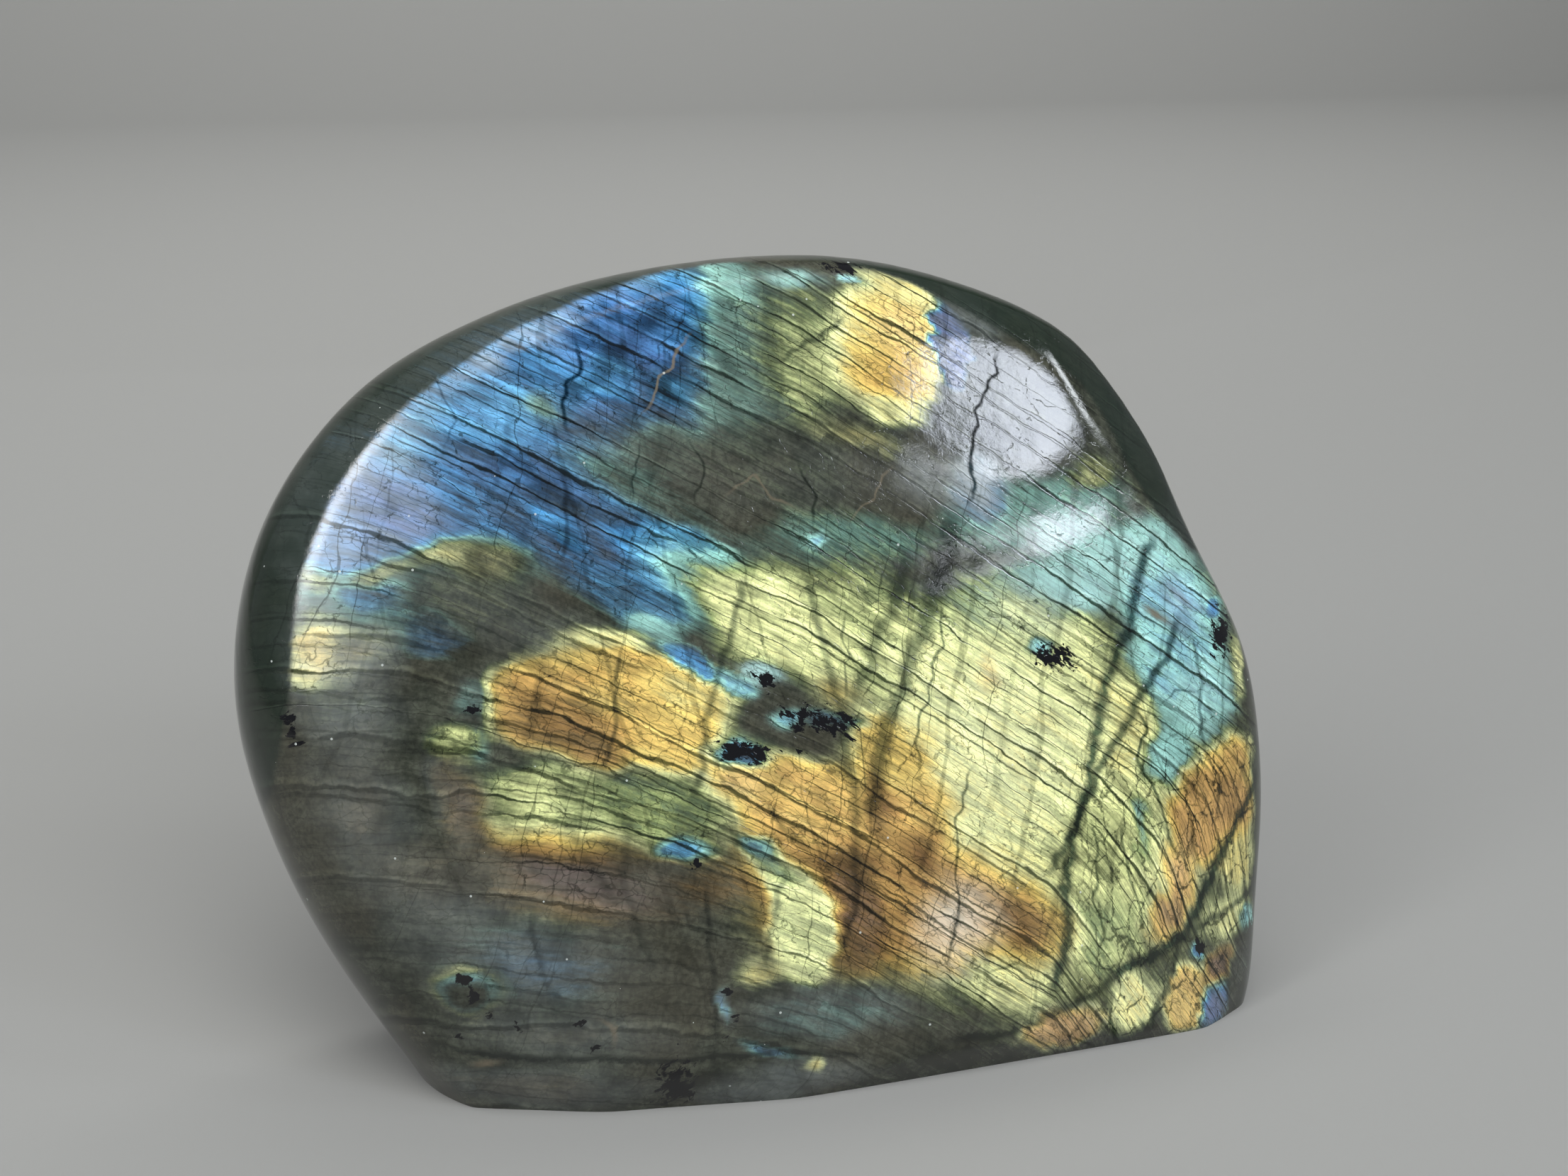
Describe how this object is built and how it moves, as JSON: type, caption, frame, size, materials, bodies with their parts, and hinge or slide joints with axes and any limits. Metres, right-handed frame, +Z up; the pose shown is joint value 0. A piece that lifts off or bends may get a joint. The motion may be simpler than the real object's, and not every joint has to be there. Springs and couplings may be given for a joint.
{
  "type": "polished labradorite freeform",
  "caption": "Upright freeform of polished labradorite, a domed leaning slab with a flat cut foot and blue, green and gold flash, to stand on a shelf or desk.",
  "frame": {"origin": "on the plane of the flat foot, under the middle of the stone's box", "axes": "+X along the broad polished face to the right, +Y from that face towards the back, +Z up from the foot to the crown"},
  "size_m": [0.1494, 0.054, 0.11],
  "materials": {
    "polished_labradorite": "high polish over grey-green feldspar with blue, teal, lime and gold flash, dark cleavage lines and black specks"
  },
  "bodies": {
    "root": {"stone": "polished_labradorite"}
  },
  "joints": []
}
